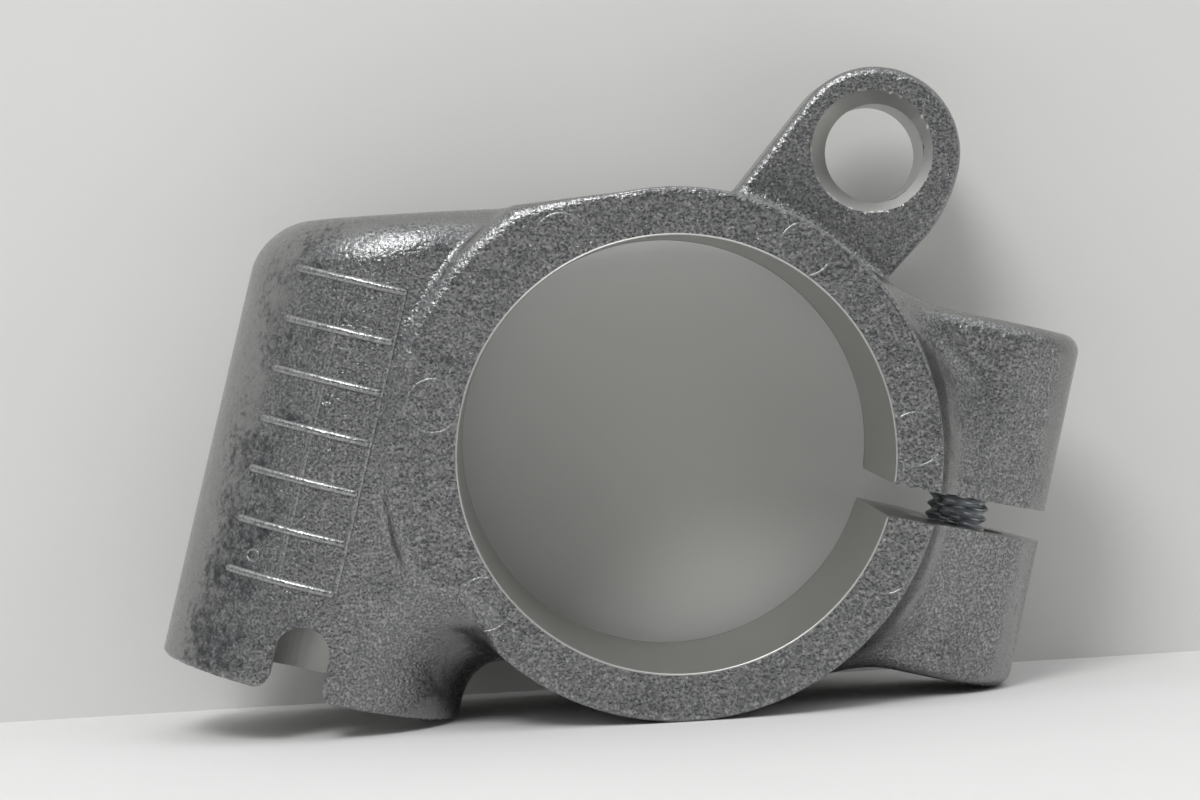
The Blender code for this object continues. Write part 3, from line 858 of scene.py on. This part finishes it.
def make_insert(stainless):
    """A threaded sleeve: outside plain with a small lead at each end, inside a helix like the screw's."""
    low, high = extent_on_screw_axis("thread_insert")

    def inner_thread(radius, height, angle):
        """A shallow helix on the inside alone, clear of the screw's."""
        return radius - 0.18 * thread_wave(height, angle) * (radius < SCREW_R + 0.5)

    inner = [(SCREW_R + 0.36, height) for height in np.arange(high - 0.2, low + 0.1, -SCREW_PITCH / 8)]
    profile = [(SCREW_R + 0.7, low), (INSERT_R - 0.3, low), (INSERT_R, low + 0.3), (INSERT_R, high - 0.3),
               (INSERT_R - 0.3, high), (SCREW_R + 0.7, high)] + inner
    vertices, faces = turned(profile, 48, ring=True, radius_at=inner_thread)
    insert = mesh_object("threaded_sleeve", vertices, faces, stainless, sharp_angle=40)
    ride_on_clamp(insert)
    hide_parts("thread_insert")


# ---------------------------------------------------------------------------
# Stage, lights and camera.
# ---------------------------------------------------------------------------
def make_stage():
    """A pale floor and, close behind the part, a pale wall that shows only its front."""
    wall_y = 19.5 * MM
    floor = [(-3, -3, 0), (3, -3, 0), (3, 3, 0), (-3, 3, 0)]
    wall = [(-3, wall_y, 0), (3, wall_y, 0), (3, wall_y, 3), (-3, wall_y, 3)]
    for name, corners, color in (("floor", floor, "#efefee"), ("wall", wall, "#e4e4e1")):
        mesh = bpy.data.meshes.new(name)
        mesh.from_pydata(corners, [], [(0, 1, 2, 3)])
        sheet = linked(name, mesh)
        mesh.materials.append(matt_board(name + "_board", color))


def matt_board(name, color):
    """Painted board: matt, faintly uneven, and clear from behind."""
    material, tree, shader = new_material(name, color, 0.0, 0.85)
    place = add_node(tree, "ShaderNodeTexCoord").outputs["Object"]
    cloud = noise(tree, place, 60.0, 3.0)
    darker = "#%02x%02x%02x" % tuple(int(int(color[i:i + 2], 16) * 0.96) for i in (1, 3, 5))
    tree.links.new(mix_colors(tree, cloud, color, darker), shader.inputs["Base Color"])
    clear = add_node(tree, "ShaderNodeBsdfTransparent")
    side = add_node(tree, "ShaderNodeNewGeometry")
    mix = tree.nodes.new("ShaderNodeMixShader")
    tree.links.new(side.outputs["Backfacing"], mix.inputs[0])
    tree.links.new(shader.outputs[0], mix.inputs[1])
    tree.links.new(clear.outputs[0], mix.inputs[2])
    tree.links.new(mix.outputs[0], tree.nodes["Material Output"].inputs["Surface"])
    return material


def add_light(name, place, target, size, power):
    """A round white area light that faces its target."""
    light = bpy.data.lights.new(name, "AREA")
    light.shape = "DISK"
    light.size = size
    light.energy = power
    obj = linked(name, light)
    obj.location = place
    obj.rotation_mode = "QUATERNION"
    obj.rotation_quaternion = (Vector(target) - Vector(place)).to_track_quat("-Z", "Y")


def make_lights():
    """A soft light high on the left, in a room that is bright all round but dim straight in front."""
    middle = (0.0, 0.0, 0.03)
    add_light("soft_box", (-0.16, -0.46, 0.52), middle, 0.26, 1.8)
    world = bpy.data.worlds.new("room")
    world.use_nodes = True
    tree = world.node_tree
    place = add_node(tree, "ShaderNodeTexCoord").outputs["Generated"]
    direction = add_node(tree, "ShaderNodeSeparateXYZ", {}, Vector=place)
    around = step_between(tree, direction.outputs["Y"], -0.95, -0.25, 0.10, 0.52)
    above = step_between(tree, direction.outputs["Z"], 0.10, 0.90, 0.0, 0.80)
    background = tree.nodes["Background"]
    background.inputs["Color"].default_value = linear("#f0f1f2")
    tree.links.new(combine(tree, "ADD", around, above), background.inputs["Strength"])
    bpy.context.scene.world = world


def make_camera():
    """Almost square on to the ring, a little up and to the left of the bore's axis, rolled slightly."""
    distance, focal_width = 340.0, 1200 / 3655
    roll = math.radians(3.3)
    right = Vector((math.cos(roll), 0, -math.sin(roll)))
    up = Vector((math.sin(roll), 0, math.cos(roll)))
    place = right * -14.88 + up * 14.88 + Vector((0, -RING_HALF - distance, 0))
    aim = (Vector((0, 1, 0)) + right * 0.02271 - up * 0.02873).normalized()
    side = aim.cross(up).normalized()
    top = side.cross(aim)
    camera = bpy.data.cameras.new("camera")
    camera.sensor_width = 36.0
    camera.lens = 36.0 / focal_width
    camera.clip_start = 0.01
    obj = linked("camera", camera)
    turn = Matrix((side, top, -aim)).transposed().to_4x4()
    obj.matrix_world = Matrix.Translation((place + Vector(bore_center)) * MM) @ turn
    bpy.context.scene.camera = obj


def main():
    """Makes every material and piece, then the stage, the lights and the camera."""
    cast = die_cast_aluminium("die_cast_aluminium", 0.00009, "#747577", "#9c9c9b")
    # A lighter copy with weaker grain for the ribs, pin marks and parting flash: the smoother skin is real, the
    # lighter colour is a painted highlight.
    smooth_painted_highlight = die_cast_aluminium("die_cast_aluminium_smooth_painted_highlight", 0.00005, "#868789", "#a8a8a7")
    machined = machined_aluminium()
    zinc = plated_steel("zinc_plated_steel", "#94979b", "#bfc2c6", 0.3, 2.0)
    stainless = plated_steel("stainless_steel", "#a5a29c", "#c9c6c0", 0.28, 1.2)
    make_casting(cast, machined)
    make_date_grid(smooth_painted_highlight)
    make_pin_marks(smooth_painted_highlight)
    make_bore_burrs(machined)
    make_parting_flash(smooth_painted_highlight)
    make_screw(zinc)
    make_washer(zinc)
    make_insert(stainless)
    make_stage()
    make_lights()
    make_camera()
    bpy.context.scene.view_settings.view_transform = "Standard"


main()
